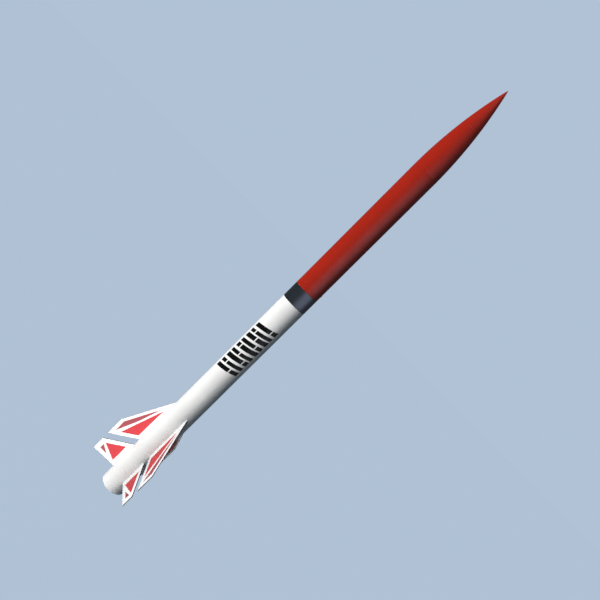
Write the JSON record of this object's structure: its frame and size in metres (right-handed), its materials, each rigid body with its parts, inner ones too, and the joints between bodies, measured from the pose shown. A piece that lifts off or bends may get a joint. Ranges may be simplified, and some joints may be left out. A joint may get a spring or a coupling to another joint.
{
  "type": "model rocket",
  "caption": "Tall slender rocket with swept split fins, electronics bay, payload section, long ogive nose and a reloadable motor behind a screw cap.",
  "frame": {"origin": "on the rocket's long axis, at the aft end face of the booster tube", "axes": "+Z along the long axis from the tail to the nose tip, -X along fin 1; fins 2 and 3 stand 120 degrees from it"},
  "size_m": [0.2322, 0.2682, 2.0314],
  "materials": {
    "white_paint": "glossy white paint over fibreglass tube",
    "fin_paint": "glossy white paint with red panels over fibreglass sheet",
    "red_paint": "satin red paint over fibreglass",
    "red_plastic": "red nylon rivet",
    "black_paint": "glossy black paint over fibreglass ring",
    "fibreglass": "bare wound or sheet fibreglass, satin",
    "black_anodised": "black anodised machined aluminium",
    "red_anodised": "red anodised drawn aluminium tube",
    "aluminium": "bare machined aluminium",
    "zinc_steel": "bright zinc plated steel",
    "brass": "machined brass",
    "graphite": "machined graphite",
    "phenolic": "brown phenolic tube",
    "propellant": "dark cast grain",
    "sled_plywood": "birch plywood",
    "circuit_board": "green circuit board",
    "battery_case": "black enamelled can",
    "switch_plastic": "black moulded plastic",
    "guide_plastic": "white acetal",
    "webbing": "woven aramid webbing",
    "orange_nylon": "rip-stop nylon",
    "red_nylon": "rip-stop nylon"
  },
  "bodies": {
    "booster": {"booster_tube_aft": "white_paint", "booster_tube_forward": "white_paint", "rail_guide_aft": "guide_plastic", "rail_guide_forward": "guide_plastic", "motor_mount_tube": "fibreglass", "forward_centering_ring": "fibreglass", "middle_centering_ring": "fibreglass", "aft_centering_ring": "fibreglass", "motor_retainer_body": "black_anodised", "booster_eye_bolt": "zinc_steel", "booster_eye_nut": "zinc_steel", "booster_shock_cord": "webbing", "drogue_parachute": "orange_nylon", "forward_fin_1": "fin_paint", "aft_fin_1": "fin_paint", "forward_fin_2": "fin_paint", "aft_fin_2": "fin_paint", "forward_fin_3": "fin_paint", "aft_fin_3": "fin_paint"},
    "motor": {"motor_case": "red_anodised", "motor_aft_closure": "black_anodised", "motor_forward_closure": "black_anodised", "motor_nozzle": "graphite", "motor_liner": "phenolic", "propellant_grain_1": "propellant", "propellant_grain_2": "propellant", "propellant_grain_3": "propellant"},
    "retainer_cap": {"motor_retainer_cap": "black_anodised"},
    "switch_rotor": {"arming_switch_rotor": "brass"},
    "nose": {"nose_cone": "red_paint", "nose_coupler": "fibreglass", "nose_bulkplate": "fibreglass", "nose_eye_bolt": "zinc_steel", "nose_eye_nut": "zinc_steel"},
    "upper": {"avbay_coupler": "fibreglass", "switch_band": "black_paint", "avbay_aft_bulkplate": "fibreglass", "avbay_forward_bulkplate": "fibreglass", "threaded_rod_1": "zinc_steel", "threaded_rod_2": "zinc_steel", "rod_nut_aft_1": "zinc_steel", "rod_nut_aft_2": "zinc_steel", "rod_nut_forward_1": "zinc_steel", "rod_nut_forward_2": "zinc_steel", "avbay_aft_eye_bolt": "zinc_steel", "avbay_aft_eye_nut": "zinc_steel", "avbay_forward_eye_bolt": "zinc_steel", "avbay_forward_eye_nut": "zinc_steel", "avbay_aft_charge_cup": "aluminium", "avbay_forward_charge_cup": "aluminium", "avionics_sled": "sled_plywood", "altimeter": "circuit_board", "battery": "battery_case", "arming_switch_body": "switch_plastic", "payload_tube": "red_paint", "payload_rivet_1": "red_plastic", "payload_rivet_2": "red_plastic", "payload_rivet_3": "red_plastic", "main_parachute": "red_nylon", "payload_shock_cord": "webbing"}
  },
  "joints": [
    {"name": "booster_separation", "type": "slide", "parent": "booster", "child": "upper", "axis": [0, 0, 1], "range_m": [0, 0.16]},
    {"name": "nose_separation", "type": "slide", "parent": "upper", "child": "nose", "axis": [0, 0, 1], "range_m": [0, 0.16]},
    {"name": "motor_slide", "type": "slide", "parent": "booster", "child": "motor", "axis": [0, 0, -1], "range_m": [0, 0.37]},
    {"name": "retainer_cap_turn", "type": "hinge", "parent": "motor", "child": "retainer_cap", "pos_m": [0, 0, 0.02], "axis": [0, 0, -1], "range_deg": [0, 900]},
    {"name": "arming_switch_turn", "type": "hinge", "parent": "upper", "child": "switch_rotor", "pos_m": [-0.0224, 0.0388, 1.0144], "axis": [-0.5, 0.866, 0], "range_deg": [0, 90]}
  ]
}
